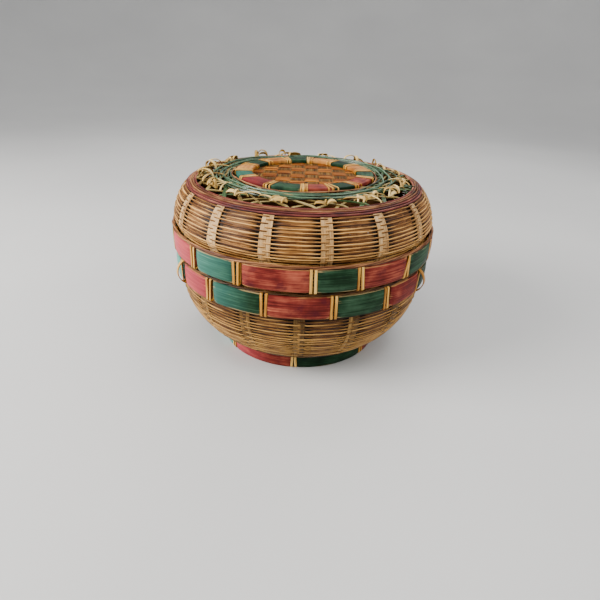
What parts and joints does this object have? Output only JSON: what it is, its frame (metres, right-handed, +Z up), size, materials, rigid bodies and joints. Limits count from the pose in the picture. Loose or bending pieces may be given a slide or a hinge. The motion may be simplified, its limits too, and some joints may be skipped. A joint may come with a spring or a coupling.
{
  "type": "lidded basket",
  "caption": "Round woven root basket with a bowl-shaped body on a foot hoop and a domed lid that lifts off, with painted hoops and an openwork top.",
  "frame": {"origin": "on the floor under the middle of the basket", "axes": "+Z up, -Y towards the side seen in the picture, +X to that side's right"},
  "size_m": [0.203, 0.203, 0.1372],
  "materials": {
    "root_brown": "satin, split root wefts",
    "root_pale": "matt, pale splint",
    "root_dark": "matt, brown plaited splint",
    "paint_red": "worn satin paint, red fields alternating with green ones",
    "paint_green": "worn satin paint, green fields alternating with red and bare ones",
    "dyed_red": "matt, dyed",
    "dyed_green": "satin, dyed",
    "binding_yellow": "satin, bare split strip",
    "loop_cream": "matt, bare split strip"
  },
  "bodies": {
    "basket": {"foot_hoop": "paint_red", "foot_binding": "binding_yellow", "base_mat": "root_dark", "body_weave_low": "root_dark", "body_weave": "root_brown", "body_stakes": "root_pale", "body_hoop": "paint_red", "body_hoop_binding": "binding_yellow", "body_rim_strand": "root_pale", "body_inner_hoop": "root_brown", "seat_collar": "root_pale"},
    "lid": {"lid_weave": "root_brown", "lid_red_weave": "dyed_red", "lid_stakes": "root_pale", "lid_hoop": "paint_red", "lid_hoop_binding": "binding_yellow", "lid_rim_strand": "dyed_red", "lid_inner_hoop": "root_brown", "openwork_lower": "loop_cream", "openwork_upper": "loop_cream", "wreath_strand_1": "dyed_green", "wreath_strand_2": "dyed_green", "wreath_strand_3": "dyed_green", "top_disc": "root_dark", "top_hoop": "paint_green", "top_hoop_binding": "binding_yellow", "curl_01": "loop_cream", "curl_02": "loop_cream", "curl_03": "loop_cream", "curl_04": "loop_cream", "curl_05": "loop_cream", "curl_06": "loop_cream", "curl_07": "loop_cream", "curl_08": "loop_cream", "curl_09": "loop_cream", "curl_10": "loop_cream", "curl_11": "loop_cream", "curl_12": "loop_cream", "curl_13": "loop_cream", "curl_14": "loop_cream", "curl_15": "loop_cream", "curl_16": "loop_cream"}
  },
  "joints": [
    {"name": "lid_lift", "type": "slide", "parent": "basket", "child": "lid", "axis": [0, 0, 1], "range_m": [0, 0.12]}
  ]
}
